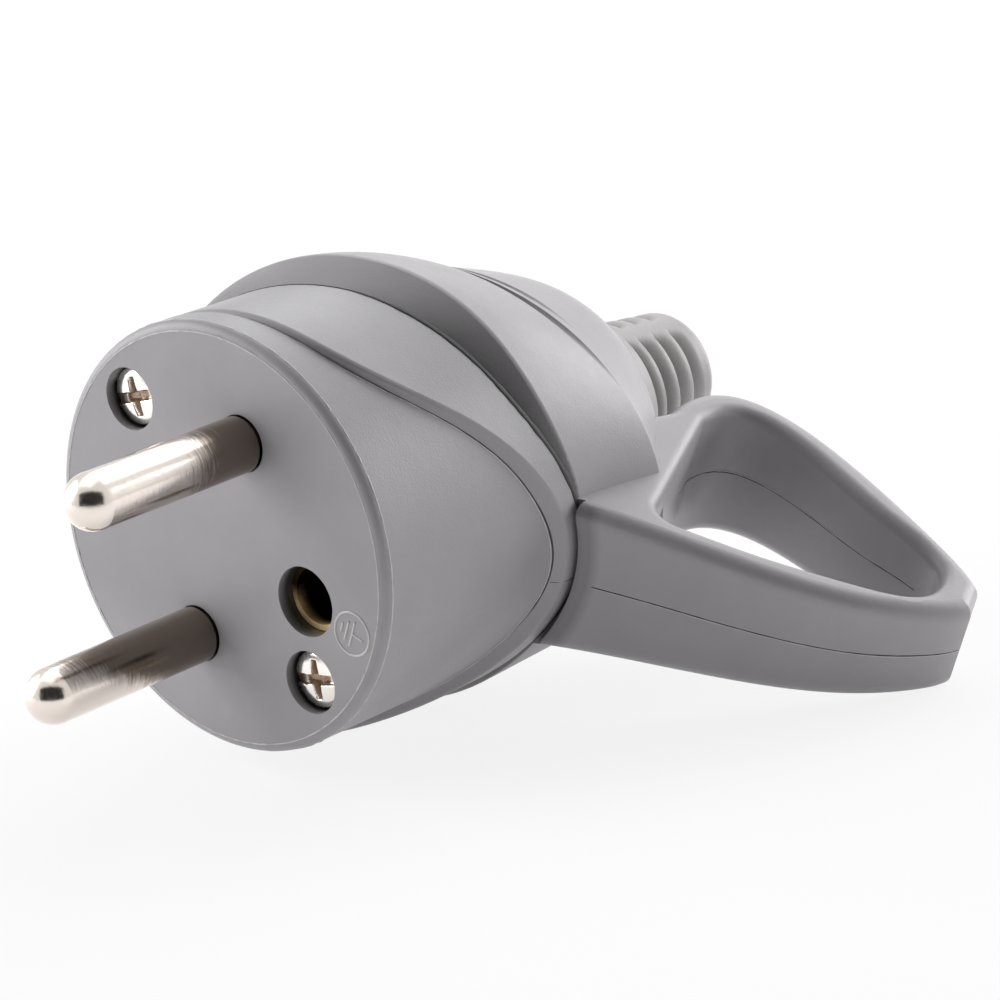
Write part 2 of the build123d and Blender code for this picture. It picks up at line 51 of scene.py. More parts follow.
FACE_EDGE_R = 0.8                  # rounding of the face's rim
EARTH_X = 10.0                     # from the plug's axis to the earth socket
PIN_Z = 9.5                        # from the plug's axis to each pin
PIN_R = 2.4

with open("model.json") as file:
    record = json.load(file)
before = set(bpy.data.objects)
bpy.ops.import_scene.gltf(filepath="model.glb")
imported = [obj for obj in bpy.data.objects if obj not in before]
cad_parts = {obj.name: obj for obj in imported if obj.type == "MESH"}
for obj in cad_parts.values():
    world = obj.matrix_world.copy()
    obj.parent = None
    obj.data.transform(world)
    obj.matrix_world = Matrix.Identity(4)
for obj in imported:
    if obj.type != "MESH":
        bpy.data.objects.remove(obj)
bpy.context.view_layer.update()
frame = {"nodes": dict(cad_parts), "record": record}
nodes = frame["nodes"]
to_frame = Matrix.Rotation(math.radians(ROLL), 4, "Y") @ Matrix.Scale(MM, 4)
from_frame = to_frame.inverted()


def placed(point):
    """A point in the plug's own axes, brought into the frame."""
    return to_frame @ Vector(point)


def linked(name, data):
    """A new object with this data, in the scene."""
    made = bpy.data.objects.new(name, data)
    bpy.context.scene.collection.objects.link(made)
    return made


# Materials: a short way to build them

class Nodes:
    """The node tree of one new material, with short names for the nodes that the materials share."""

    def __init__(self, name):
        self.material = bpy.data.materials.new(name)
        self.material.use_nodes = True
        self.tree = self.material.node_tree
        self.shader = self.tree.nodes["Principled BSDF"]
        self.place = self.tree.nodes.new("ShaderNodeTexCoord").outputs["Object"]

    def add(self, kind, inputs=None, **settings):
        """A shader node with its settings, and with values or other nodes on its inputs."""
        node = self.tree.nodes.new("ShaderNode" + kind)
        for name, value in settings.items():
            setattr(node, name, value)
        for name, value in (inputs or {}).items():
            self.join(value, node.inputs[name])
        return node

    def join(self, value, socket):
        """Put a value, or the output of another node, on a socket."""
        if isinstance(value, bpy.types.NodeSocket):
            self.tree.links.new(value, socket)
        else:
            socket.default_value = value

    def coordinate(self, axis):
        """One coordinate of the place."""
        return self.add("SeparateXYZ", {"Vector": self.place}).outputs[axis]

    def radius(self):
        """Distance from the plug's axis."""
        across = self.add("VectorMath", {0: self.place, 1: (1.0, 0.0, 1.0)}, operation="MULTIPLY").outputs[0]
        return self.add("VectorMath", {0: across}, operation="LENGTH").outputs["Value"]

    def noise(self, scale, detail=3.0, rough=0.55, place=None):
        """Cloudy values around one half."""
        inputs = {"Vector": place or self.place, "Scale": scale, "Detail": detail, "Roughness": rough}
        return self.add("TexNoise", inputs).outputs["Fac"]

    def ramp(self, value, low, high, to_low, to_high):
        """A value from low to high, turned into one from to_low to to_high and held there."""
        inputs = {"Value": value, "From Min": low, "From Max": high, "To Min": to_low, "To Max": to_high}
        return self.add("MapRange", inputs).outputs["Result"]

    def mix(self, factor, first, second):
        """A colour between the first and the second one."""
        node = self.add("Mix", data_type="RGBA")
        self.join(factor, node.inputs[0])
        self.join((*first, 1) if isinstance(first, tuple) else first, node.inputs[6])
        self.join((*second, 1) if isinstance(second, tuple) else second, node.inputs[7])
        return node.outputs[2]

    def plus(self, first, second):
        return self.add("Math", {0: first, 1: second}, operation="ADD").outputs[0]

    def times(self, first, second):
        return self.add("Math", {0: first, 1: second}, operation="MULTIPLY").outputs[0]

    def bump(self, height, distance, normal=None):
        """Normal of a surface with this relief, on top of an earlier normal if there is one."""
        inputs = {"Height": height, "Distance": distance}
        if normal is not None:
            inputs["Normal"] = normal
        return self.add("Bump", inputs).outputs["Normal"]

    def set(self, **values):
        """Put the values on the shader's sockets of these names, and give the material."""
        for name, value in values.items():
            if isinstance(value, tuple):
                value = (*value, 1)
            self.join(value, self.shader.inputs[name.replace("_", " ")])
        return self.material


# Materials: plastics

MOST_NOISE = (0.3, 0.7)            # the range in which most values of a noise lie
UPPER_NOISE = (0.55, 0.70)         # from here up a noise makes patches
NOISE_PEAKS = (0.62, 0.78)         # from here up it makes a few small spots
PLASTIC_GRAIN = 5200               # scale of the eroded grain, per metre
PLASTIC_CLOUD = 140                # scale of the soft clouds in tone and relief
PLASTIC_RUBS = 900                 # scale of the rub marks
GRAIN_RELIEF = 0.000012
CLOUD_RELIEF = 0.00006
RUB_SHARE = 0.12                   # strength of the rub marks


def shell_shade(m):
    """Mask of painted shade on the wall under the collar's crest, strongest at its foot, where the wall lies in
    shade.
    """
    wall_normal = (-0.30, -0.10)   # Y of the normal: the wall looks to the front
    foot_radius = (0.0189, 0.0203)
    crest_radius = (0.0207, 0.0215)
    top_level = (0.0145, 0.0185)   # Z from which the wall gets light from above
    ring_front = (0.0275, 0.0290)  # Y where the inside of the ring begins
    ahead = m.add("SeparateXYZ", {"Vector": m.add("TexCoord").outputs["Normal"]}).outputs["Y"]
    radius = m.radius()
    facing = m.ramp(ahead, *wall_normal, 1.0, 0.0)
    foot = m.ramp(radius, *foot_radius, 1.0, 0.5)
    inside = m.ramp(radius, *crest_radius, 1.0, 0.0)
    low = m.ramp(m.coordinate("Z"), *top_level, 1.0, 0.25)
    front = m.ramp(m.coordinate("Y"), *ring_front, 1.0, 0.0)
    return m.times(m.times(m.times(facing, foot), m.times(inside, low)), front)


def hole_shade(m):
    """Mask of painted shade on the walls inside the holes of the face, from their mouths inwards."""
    rim_radius = (0.0164, 0.0166)  # outside this the face has no holes
    mouth_depth = (0.0, 0.0010)
    among_holes = m.ramp(m.radius(), *rim_radius, 1.0, 0.0)
    return m.times(among_holes, m.ramp(m.coordinate("Y"), *mouth_depth, 0.0, 1.0))


def plastic(name, colour, roughness, grain=1.0, shade=None, depth=0.0):
    """Satin moulded plastic with an eroded grain and faint rub marks; where a shade mask is given, shade is
    painted into the colour, darkened by depth inside the mask.
    """
    m = Nodes(name)
    fine = m.noise(PLASTIC_GRAIN, 2.0)
    cloud = m.noise(PLASTIC_CLOUD)
    rub = m.ramp(m.noise(PLASTIC_RUBS, 4.0), *NOISE_PEAKS, 0.0, 1.0)
    tone = m.ramp(cloud, *MOST_NOISE, 0.0, 1.0)
    darker = tuple(0.96 * c for c in colour)
    lighter = tuple(1.04 * c for c in colour)
    rubbed = tuple(1.25 * c for c in colour)
    base = m.mix(m.times(rub, RUB_SHARE), m.mix(tone, darker, lighter), rubbed)
    if shade:
        # Painted shade: inside the mask the colour darkens by depth.
        base = m.mix(shade(m), base, tuple((1 - depth) * c for c in colour))
    rough = m.ramp(fine, *MOST_NOISE, roughness - 0.06, roughness + 0.06)
    normal = m.bump(cloud, CLOUD_RELIEF, normal=m.bump(fine, GRAIN_RELIEF * grain))
    return m.set(Base_Color=base, Roughness=rough, Normal=normal)


BODY_COLOUR = (0.293, 0.283, 0.300)
SHELL_COLOUR = (0.300, 0.288, 0.300)
BOOT_COLOUR = (0.322, 0.306, 0.308)
INNER_COLOUR = (0.35, 0.35, 0.36)
# Lighter plastic of the beads and of the earth sign's lines; on the rim's flash it is partly painted highlight,
# and along the split and the ring's seams it is painted highlight.
FLASH_AND_HIGHLIGHT_COLOUR = (0.49, 0.475, 0.468)
# Near black: painted shade in the creases and seams, and over the split between the front block and the
# housing.
PAINTED_SHADE_COLOUR = (0.03, 0.028, 0.03)
body_plastic = plastic("body_plastic_grey", BODY_COLOUR, roughness=0.42, grain=1.4)
# Copy of the body plastic with painted shade inside the holes of the face: the screw wells, the earth hole and
# the pin holes.
front_plastic = plastic("front_plastic_grey", BODY_COLOUR, roughness=0.42, grain=1.4,
                        shade=hole_shade, depth=0.9)
# Copy of the body plastic with painted shade on the collar wall under the crest.
shell_plastic = plastic("shell_plastic_grey", SHELL_COLOUR, roughness=0.42, grain=1.2,
                        shade=shell_shade, depth=0.75)
boot_plastic = plastic("boot_plastic_grey", BOOT_COLOUR, roughness=0.48, grain=1.4)
inner_plastic = plastic("inner_plastic_grey", INNER_COLOUR, roughness=0.5)
flash_and_highlight_plastic = plastic("flash_and_painted_highlight_grey", FLASH_AND_HIGHLIGHT_COLOUR, roughness=0.38, grain=0.5)
painted_crease_shade = plastic("painted_crease_shade_grey", PAINTED_SHADE_COLOUR, roughness=0.6)


# Materials: metals

METAL_MARKS = 3000                 # scale of the finest marks, per metre
METAL_FILM = 700                   # scale of the patches of film
METAL_RELIEF = 0.000006


def metal(name, colour, stain, roughness):
    """Plated or plain metal with fine marks and a thin brownish film in places."""
    m = Nodes(name)
    fine = m.noise(METAL_MARKS)
    film = m.ramp(m.noise(METAL_FILM, 4.0), *UPPER_NOISE, 0.0, 1.0)
    rough = m.ramp(fine, *MOST_NOISE, roughness - 0.05, roughness + 0.07)
    return m.set(Base_Color=m.mix(film, colour, stain), Roughness=rough, Normal=m.bump(fine, METAL_RELIEF),
                 Metallic=1.0)


def pin_metal(name, height, border, slope):
    """Nickel, bright towards the tip and dark brown at the root, with a streaky border between them; the dark
    part is painted reflection of the face and of the other pin.

    The border lies at y = border at the pin's axis, whose Z is height. It lies nearer to the face by slope
    along the pin's top, and further out by slope along its underside.
    """
    m = Nodes(name)
    bright = (0.70, 0.635, 0.585)
    # Painted reflection of the face and of the other pin.
    root = (0.25, 0.205, 0.17)
    turning_scale = (420.0, 4200.0, 420.0)
    streak = 0.0016                # how far the streaks move the border
    fade = (border - 0.0012, border + 0.0016)
    turning = m.add("Mapping", {"Vector": m.place, "Scale": turning_scale}).outputs["Vector"]
    marks = m.noise(1.0, 4.0, 0.65, place=turning)
    lean = m.ramp(m.coordinate("Z"), height - PIN_R * MM, height + PIN_R * MM, slope, -slope)
    moved = m.plus(m.ramp(marks, 0.25, 0.75, -streak, streak), lean)
    dark = m.ramp(m.plus(m.coordinate("Y"), moved), *fade, 0.0, 1.0)
    fine = m.noise(METAL_MARKS)
    rough = m.ramp(fine, *MOST_NOISE, 0.15, 0.25)
    normal = m.bump(fine, 0.000004, normal=m.bump(marks, 0.000010))
    return m.set(Base_Color=m.mix(dark, bright, root), Roughness=rough, Normal=normal, Metallic=1.0)


def sleeve_metal():
    """Brass of the earth sleeve, darkened to paint the shade inside the earth hole, with a painted glint along
    the lower side of its mouth.
    """
    m = Nodes("contact_brass_painted_glint")
    shaded_brass = (0.05, 0.025, 0.008)
    glinting_brass = (1.0, 0.74, 0.36)
    centre = placed((EARTH_X, 0, 0)).z
    lower_side = (centre - 0.0012, centre + 0.0006)
    mouth = (0.0018, 0.0028)       # Y of the sleeve's mouth
    uneven = m.ramp(m.noise(1500), 0.2, 0.8, -0.0004, 0.0004)
    level = m.plus(m.coordinate("Z"), uneven)
    # Mask of the painted glint, along the lower side of the sleeve's mouth.
    worn = m.times(m.ramp(level, *lower_side, 1.0, 0.0), m.ramp(m.coordinate("Y"), *mouth, 1.0, 0.0))
    return m.set(Base_Color=m.mix(worn, shaded_brass, glinting_brass), Roughness=m.ramp(worn, 0.0, 1.0, 0.45, 0.28),
                 Normal=m.bump(m.noise(METAL_MARKS), METAL_RELIEF), Metallic=m.ramp(worn, 0.0, 1.0, 1.0, 0.3))


def recessed_metal():
    """Bright plated screw head whose recess holds a dull brownish film."""
    m = Nodes("screw_plating_recessed")
    bright = (0.80, 0.77, 0.73)
    dull = (0.42, 0.31, 0.23)
    film_from = (0.00085, 0.00125)  # Y below the dome, where the bright plating gives way to the film
    uneven = m.ramp(m.noise(1800), 0.2, 0.8, -0.0002, 0.0002)
    film = m.ramp(m.plus(m.coordinate("Y"), uneven), *film_from, 0.0, 1.0)
    return m.set(Base_Color=m.mix(film, bright, dull), Roughness=m.ramp(film, 0.0, 1.0, 0.2, 0.5),
                 Normal=m.bump(m.noise(METAL_MARKS), METAL_RELIEF), Metallic=1.0)


# One copy per pin: the borders slant opposite ways, so each pin's painted reflection reaches further along the
# side that faces the other pin.
nickel = pin_metal("pin_nickel_upper", placed((0, 0, PIN_Z)).z, border=-0.0070, slope=0.0014)
nickel_low = pin_metal("pin_nickel_lower", placed((0, 0, -PIN_Z)).z, border=-0.0112, slope=-0.0046)
steel = metal("screw_plating", colour=(0.72, 0.70, 0.67), stain=(0.42, 0.35, 0.28), roughness=0.24)
brass = metal("contact_brass", colour=(0.80, 0.54, 0.22), stain=(0.50, 0.27, 0.10), roughness=0.2)
sleeve_brass = sleeve_metal()
recess_steel = recessed_metal()

SLOT_MATERIALS = {"body_plastic": body_plastic, "boot_plastic": boot_plastic, "inner_plastic": inner_plastic,
                  "pin_plating": nickel, "screw_steel": steel, "contact_brass": brass}
for part in frame["record"]["subparts"]:
    cad = nodes[part["node"]]
    cad.data.materials.clear()
    cad.data.materials.append(SLOT_MATERIALS[part["material_slot"]])
nodes["neutral_pin"].data.materials[0] = nickel_low
nodes["front_block"].data.materials[0] = front_plastic
nodes["rear_shell"].data.materials[0] = shell_plastic
nodes["earth_sleeve"].data.materials[0] = sleeve_brass


# Mesh helpers

BEAD_SUNK = 0.02                   # how deep the foot of a bead lies in the surface under it


def piece(name, verts, faces, material):
    """A smooth mesh piece of the object, in the plug's own axes, riding on its one body."""
    mesh = bpy.data.meshes.new(name)
    mesh.from_pydata([placed(v) for v in verts], [], faces)
    made = bmesh.new()
    made.from_mesh(mesh)
    bmesh.ops.recalc_face_normals(made, faces=made.faces)
    made.to_mesh(mesh)
    made.free()
    for polygon in mesh.polygons:
        polygon.use_smooth = True
    mesh.materials.append(material)
    shown = linked(name, mesh)
    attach(shown, "root")
    return shown


def bead(points, normals, half_widths, heights, closed, sides=5):
    """Vertices and faces of a low rounded bead that lies on a surface along the points."""
    verts, faces = [], []
    count = len(points)
    for i, (point, normal) in enumerate(zip(points, normals)):
        before = points[i - 1] if i or closed else points[0]
        after = points[(i + 1) % count] if i + 1 < count or closed else points[-1]
        across = (after - before).cross(normal).normalized()
        for k in range(sides):
            turn = math.pi * k / (sides - 1)
            verts.append(point + across * (half_widths[i] * math.cos(turn))
                         + normal * (heights[i] * math.sin(turn) - BEAD_SUNK))
    for i in range(count if closed else count - 1):
        a, b = i * sides, ((i + 1) % count) * sides
        for k in range(sides - 1):
            faces.append((a + k, a + k + 1, b + k + 1, b + k))
        faces.append((a + sides - 1, a, b, b + sides - 1))
    if not closed:
        last = (count - 1) * sides
        faces.append(tuple(range(sides)))
        faces.append(tuple(range(last, last + sides)))
    return verts, faces


def wander(i, scale, seed):
    """Smooth noise between -1 and 1 along a row of points."""
    return noise.noise(Vector((i * scale, seed, 0.37)))


def soft_step(value):
    """From 0 to 1 without corners, while the value goes from 0 to 1."""
    value = min(1.0, max(0.0, value))
    return value * value * (3 - 2 * value)


# Face: rim flash with painted highlight, and earth sign

RIM_STEPS = 540                    # points around the rim
RIM_WOBBLE = 0.02                  # how far the flash strays from its circle


def rim_flash(name, radius, y, outward, forward, size, seed):
    """Thin uneven flash line around the rim of the face, standing up outward or forward; its lighter colour is
    partly painted highlight along the rim's edge.
    """
    points, normals = [], []
    for i in range(RIM_STEPS):
        angle = 2 * math.pi * i / RIM_STEPS
        r = radius + RIM_WOBBLE * wander(i, 0.35, seed)
        points.append(Vector((r * math.cos(angle), y, r * math.sin(angle))))
        normals.append(Vector((outward * math.cos(angle), -forward, outward * math.sin(angle))))
    sizes = [size * (0.85 + 0.7 * wander(i, 0.37, seed + 2)) for i in range(RIM_STEPS)]
    verts, faces = bead(points, normals, sizes, sizes, True)
    piece(name, verts, faces, flash_and_highlight_plastic)


rim_flash("rim_flash_highlight_outer", BODY_R - RIM_WOBBLE, FACE_EDGE_R, outward=1, forward=0, size=0.09, seed=1.3)
rim_flash("rim_flash_highlight_inner", BODY_R - FACE_EDGE_R, 0.0, outward=0, forward=1, size=0.07, seed=4.1)

SIGN_X = 15.3                      # place of the earth sign on the face
SIGN_Z = 0.15
SIGN_R = 1.85
SIGN_LINE = 0.11                   # half the width of its lines
SIGN_RISE = 0.10
SIGN_BARS = ((-1.15, 0.45), (-0.6, 0.9), (0.0, 1.2))    # place and half length of each bar
SIGN_STEM = 1.2


def sign_line(name, places, closed):
    """Raised line of the earth sign through places (x, z) that are counted from the sign's centre."""
    count = len(places)
    points = [Vector((SIGN_X + x, 0, SIGN_Z + z)) for x, z in places]
    normals = [Vector((0, -1, 0))] * count
    verts, faces = bead(points, normals, [SIGN_LINE] * count, [SIGN_RISE] * count, closed, 6)
    piece(name, verts, faces, flash_and_highlight_plastic)


def straight(start, end):
    """Places along a straight line between two places (x, z)."""
    steps = 10
    return [(start[0] + (end[0] - start[0]) * i / steps, start[1] + (end[1] - start[1]) * i / steps)
            for i in range(steps + 1)]


def earth_sign():
    """The general sign for protective earth: a stem and three bars in a circle."""
    around = 64
    turns = [2 * math.pi * i / around for i in range(around)]
    sign_line("earth_sign_circle", [(SIGN_R * math.cos(t), SIGN_R * math.sin(t)) for t in turns], True)
    for number, (x, half) in enumerate(SIGN_BARS):
        sign_line("earth_sign_bar_%d" % number, straight((x, -half), (x, half)), False)
    sign_line("earth_sign_stem", straight((0, 0), (SIGN_STEM, 0)), False)


earth_sign()


# Joints between the mouldings, with painted highlight and painted shade along them

LEAN = Matrix.Rotation(math.radians(-4.0), 4, "Y")      # the borders lean by this about the plug's axis
SPLIT = ((7.6, 2.6), (0.0, 1.55), 4.6)                  # each border: place (x, y) of its bend, slopes on
FOOT = ((14.5, 18.0), (0.27, 1.05), 3.0)                # either side of it, and softness of the bend
SKIRT_START = 17.5                 # y where the front block's side begins to flare
SKIRT_END = 24.5
SKIRT_ARC_R = 17.62
LIP_SHIFT = 0.8                    # the housing's lip is a round of its own, moved towards the ring
LIP_RISE = 0.55
LIP_DRAFT = 1.0                    # degrees
BEAD_ENDS = 14                     # points over which a border's bead fades out


def bend(x, border):
    """How far back (y) a slanting border lies at x."""
    at, slopes, softness = border
    dx = x - at[0]
    return at[1] + slopes[0] * dx + (slopes[1] - slopes[0]) * (dx + math.hypot(dx, softness)) / 2


def skirt_radius(_, y):
    """Radius of the front block's side, which flares near the ring and is the same at every angle."""
    along = min(max(y, SKIRT_START), SKIRT_END) - SKIRT_START
    return BODY_R + SKIRT_ARC_R - math.sqrt(SKIRT_ARC_R ** 2 - along ** 2)


def housing_radius(angle, y):
    """Distance from the plug's axis to the middle housing's outside."""
    lip_r = BODY_R + LIP_RISE - y * math.tan(math.radians(LIP_DRAFT))
    lip = LIP_SHIFT * math.cos(angle) + math.sqrt(lip_r ** 2 - (LIP_SHIFT * math.sin(angle)) ** 2)
    return max(lip, skirt_radius(angle, y))


def border_bead(name, border, radius_at, span, shift, half_width, height, material, seed, uneven=0.5):
    """Thin uneven bead on the outside, between two angles in degrees, along a slanting border or near it."""
    points, normals = [], []
    for i in range(span[1] - span[0] + 1):
        angle = math.radians(span[0] + i)
        r = BODY_R
        for _ in range(4):
            y = bend(r * math.cos(angle), border) + shift
            r = radius_at(angle, y)
        rise = (radius_at(angle, y + 0.1) - radius_at(angle, y - 0.1)) / 0.2
        points.append(LEAN @ Vector((r * math.cos(angle), y, r * math.sin(angle))))
        normals.append((LEAN.to_3x3() @ Vector((math.cos(angle), -rise, math.sin(angle)))).normalized())
    last = len(points) - 1
    share = [(1 + uneven * wander(i, 0.31, seed)) * (0.1 + 0.9 * soft_step(min(i, last - i) / BEAD_ENDS))
             for i in range(last + 1)]
    verts, faces = bead(points, normals, [half_width * s for s in share], [height * s for s in share], False)
    piece(name, verts, faces, material)


# Painted highlight: a light bead along the front block's edge at the split.
border_bead("split_edge_highlight", SPLIT, skirt_radius, (-95, 95), shift=-0.15, half_width=0.06, height=0.075,
            material=flash_and_highlight_plastic, seed=2.2)
# A dark bead over the split, wider than its gap: a dark joint and painted shade in the crease.
border_bead("split_crease_shade", SPLIT, skirt_radius, (-95, 72), shift=0.0, half_width=0.13, height=0.05,
            material=painted_crease_shade, seed=5.1, uneven=0.3)
# Painted shadow: a broad dark bead at the foot of the collar wall.
border_bead("foot_crease_shadow", FOOT, housing_radius, (-75, 95), shift=-0.06, half_width=0.24, height=0.07,
            material=painted_crease_shade, seed=7.7, uneven=0.35)


# Parting lines of the middle housing and the ring, with painted shade in their grooves and painted highlight on
# their edges

SEAM_STEP = 0.3                    # distance between the points of a seam
OUTER_SEAM = ((21.5, 22.8, 0.0), (25.8, 25.7, 0.0), (29.2, 28.2, -0.05), (32.4, 31.1, -0.1),
              (35.6, 33.9, -0.15), (38.6, 37.0, -0.2), (41.4, 40.4, -0.2), (44.0, 45.4, -0.2))
INNER_SEAM = ((14.9, 41.0, 0.0), (15.4, 46.0, 0.0), (18.1, 48.4, 0.0), (23.5, 49.0, 0.0),
              (30.3, 48.9, 0.1), (36.5, 47.4, 0.3))
HOUSING_SEAM = ((18.9, 20.6, 0.0), (19.3, 21.6, 0.0), (19.7, 22.6, 0.0), (20.0, 23.6, 0.0))


def seam_path(places):
    """Points close together on a smooth curve through a few places."""
    places = [Vector(place) for place in places]
    path = []
    for i in range(len(places) - 1):
        p0, p1 = places[max(i - 1, 0)], places[i]
        p2, p3 = places[i + 1], places[min(i + 2, len(places) - 1)]
        count = max(2, int((p2 - p1).length / SEAM_STEP))
        for k in range(count):
            t = k / count
            path.append(0.5 * (2 * p1 + (p2 - p0) * t + (2 * p0 - 5 * p1 + 4 * p2 - p3) * t * t
                               + (3 * p1 - p0 - 3 * p2 + p3) * t ** 3))
    return path + [places[-1]]


def settled_bead(name, node, path, half_width, height, material, seed, uneven, lift=0.0):
    """Thin uneven bead along the path, raised by lift along Z and then laid onto a node's surface."""
    mesh = nodes[node].data
    tree = BVHTree.FromPolygons([v.co for v in mesh.vertices], [p.vertices for p in mesh.polygons])
    points, normals = [], []
    for point in path:
        found, normal, _, _ = tree.find_nearest(placed(point + Vector((0, 0, lift))))
        points.append(from_frame @ found)
        normals.append((from_frame.to_3x3() @ normal).normalized())
    share = [1 + uneven * wander(i, 0.27, seed) for i in range(len(path))]
    verts, faces = bead(points, normals, [half_width * s for s in share], [height * s for s in share], False)
    piece(name, verts, faces, material)


# Painted shade: dark beads stand in for the shade in the seams' grooves.
settled_bead("housing_seam_shade", "middle_housing", seam_path(HOUSING_SEAM), half_width=0.05, height=0.04,
             material=painted_crease_shade, seed=9.2, uneven=0.6)
for side, places, lift in (("outer", OUTER_SEAM, -0.10), ("inner", INNER_SEAM, 0.12)):
    path = seam_path(places)
    settled_bead("ring_seam_%s" % side, "rear_shell", path, half_width=0.06, height=0.042,
                 material=painted_crease_shade, seed=3.1, uneven=0.4)
    # Painted highlight: a light bead beside each ring seam stands in for the light its edge catches.
    settled_bead("ring_seam_edge_%s" % side, "rear_shell", path, half_width=0.05, height=0.05,
                 material=flash_and_highlight_plastic, seed=6.4, uneven=0.6, lift=lift)


# Cord boot

BOOT_X = 1.5                       # the boot's axis, a little towards the ring
BORE_R = 3.6
BOOT_AROUND = 144
BOOT_START = 43.02
RIBS_START = 46.4
BOOT_TIP = 56.99
COLLAR_R = (8.6, 7.25)             # at the start of the boot and where the ribs start
RIBS_R = (6.6, 5.35)               # where the ribs start and at the tip
SHOULDER = 0.3                     # length of the soft step from the collar down to the ribs
TIP_LENGTH = 1.3                   # length of the tip's rounding, and how far it goes in
TIP_DROP = 1.1
MOUTH = ((0.0, 0.35), (0.1, 0.1), (0.35, 0.0))          # rounding of the bore: (in from the tip, over BORE_R)
# (y, radius) of the end that the shell holds
HELD = ((39.05, 7.1), (40.25, 7.15), (40.3, 5.8), (42.9, 5.8), (BOOT_START, 6.2), (BOOT_START, 8.4))
GROOVES = [(46.5 + 2.25 * i, 1.15 - 0.07 * i) for i in range(4)]    # (start, greatest depth) of each
GROOVE_LENGTH = 1.9
GROOVE_WALL = 0.2                  # length of the steep side
GROOVE_CURVE = 1.7                 # how hollow the rising side is
SPINE_HALF = 0.7                   # half the width of the spine strip
SPINE_RUN = 1.5                    # run-out of the grooves beside it


def boot_outline():
    """Rows (y, radius, share of the grooves) over the ribs, round the tip, through the bore to the held end."""
    rows = []
    steps = 150
    length = BOOT_TIP - TIP_LENGTH - BOOT_START
    for i in range(steps + 1):
        y = BOOT_START + length * i / steps
        ribs = RIBS_R[0] + (RIBS_R[1] - RIBS_R[0]) * (y - RIBS_START) / (BOOT_TIP - RIBS_START)
        collar = COLLAR_R[0] + (COLLAR_R[1] - COLLAR_R[0]) * (y - BOOT_START) / (RIBS_START - BOOT_START)
        rows.append((y, collar + (ribs - collar) * soft_step((y - RIBS_START + 0.05) / SHOULDER), 1.0))
    tip_r = rows[-1][1]
    tip_steps = 12
    for i in range(1, tip_steps + 1):
        turn = math.pi / 2 * i / tip_steps
        y = BOOT_TIP - TIP_LENGTH + TIP_LENGTH * math.sin(turn)
        rows.append((y, tip_r - TIP_DROP * (1 - math.cos(turn)), 0.0))
    rows += [(BOOT_TIP - back, BORE_R + over, 0.0) for back, over in MOUTH]
    rows += [(48.0, BORE_R, 0.0), (39.1, BORE_R, 0.0)]
    return rows + [(y, radius, 0.0) for y, radius in HELD]


def groove_depth(y, angle, radius):
    """Depth of the grooves: steep behind each rib, then rising, and stopped by the spines above and below."""
    from_spine = radius * abs(math.asin(math.cos(angle)))
    depth = 0.0
    for start, deepest in GROOVES:
        along = y - start
        if 0 < along < GROOVE_LENGTH:
            depth += deepest * soft_step(along / GROOVE_WALL) * (1 - along / GROOVE_LENGTH) ** GROOVE_CURVE
    return depth * soft_step((from_spine - SPINE_HALF) / SPINE_RUN)


def cord_boot():
    """The cord boot with its sloping ribs, in the place of the plain solid."""
    rows = boot_outline()
    verts, faces = [], []
    for y, radius, share in rows:
        for k in range(BOOT_AROUND):
            angle = 2 * math.pi * k / BOOT_AROUND
            r = radius - share * groove_depth(y, angle, radius)
            verts.append((BOOT_X + r * math.cos(angle), y, r * math.sin(angle)))
    for i in range(len(rows)):
        a, b = i * BOOT_AROUND, (i + 1) % len(rows) * BOOT_AROUND
        for k in range(BOOT_AROUND):
            n = (k + 1) % BOOT_AROUND
            faces.append((a + k, a + n, b + n, b + k))
    boot = piece("cord_boot", verts, faces, boot_plastic)
    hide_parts("cable_boot")


cord_boot()


# Assembly screws

SCREW_SITES = {"a": (-12.405, 6.596, 36), "b": (12.405, -6.596, 29)}    # x, z and degrees of the recess
HEAD_R = 2.45
HEAD_TOP = 0.62                    # y of the dome's middle and of its edge
HEAD_RIM = 0.95
RIM_HEIGHT = 0.2                   # rounding between the dome and the side of the head
SEAT_Y = 2.48
SHANK_R = 1.42
SHANK_END = 19.3
CORE_R = 0.01                      # radius of the small flat in the middle of both ends


def head_recess(x, z, turn):
    """Depth of the worn combination recess at a place on the head."""
    slot_depth = 0.40
    slot_half = 0.46
    slot_wall = 0.16
    arm_depth = 1.0
    arm_rise = 0.3                 # how much shallower an arm is at its end
    arm_half = 0.52
    arm_taper = 0.16
    arm_wall = 0.2
    arm_end = 0.3
    angle = math.radians(turn)
    u = x * math.cos(angle) + z * math.sin(angle)
    v = -x * math.sin(angle) + z * math.cos(angle)
    edge = slot_half + 0.05 * noise.noise(Vector((u * 2, 1.7, turn)))
    depth = slot_depth * soft_step((edge - abs(v)) / slot_wall)
    for along, across, length in ((u, v, 1.45), (v, u, 1.75)):
        half = arm_half - arm_taper * abs(along) / length
        arm = soft_step((half - abs(across)) / arm_wall) * soft_step((length - abs(along)) / arm_end)
        depth = max(depth, (arm_depth - arm_rise * abs(along) / length) * arm)
    return depth


